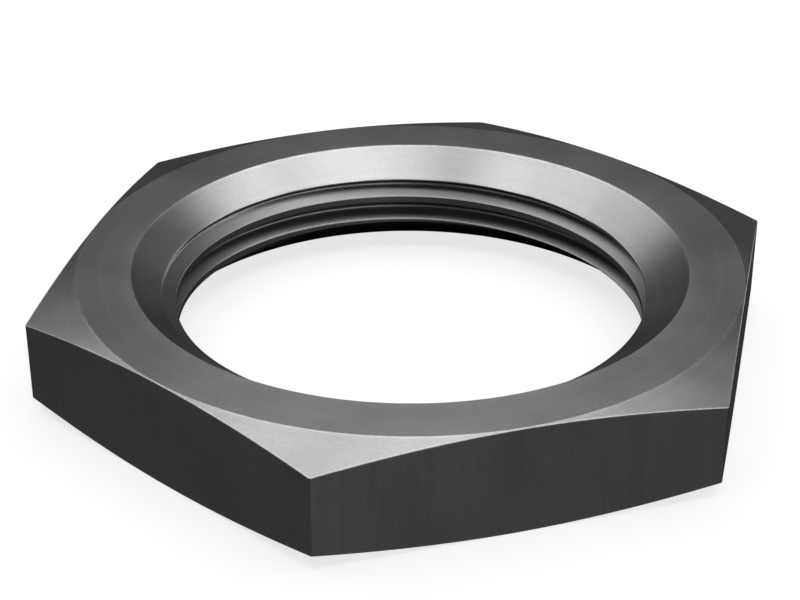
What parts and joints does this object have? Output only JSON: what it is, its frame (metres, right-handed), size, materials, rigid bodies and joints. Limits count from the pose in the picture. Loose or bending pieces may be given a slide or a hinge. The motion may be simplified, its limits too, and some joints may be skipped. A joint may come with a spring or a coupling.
{
  "type": "hex lock nut",
  "caption": "Thin hexagon lock nut with chamfered corners on both faces and a fine-threaded bore that is countersunk at both ends.",
  "frame": {"origin": "middle of the lower face, on the thread's axis", "axes": "+Z along the thread's axis, out of the upper face; +X through a corner; two flats face +Y and -Y"},
  "size_m": [0.0278, 0.024, 0.0039],
  "materials": {
    "dark_steel": "satin dark grey, turned faces"
  },
  "bodies": {
    "root": {"hex_lock_nut": "dark_steel"}
  },
  "joints": []
}
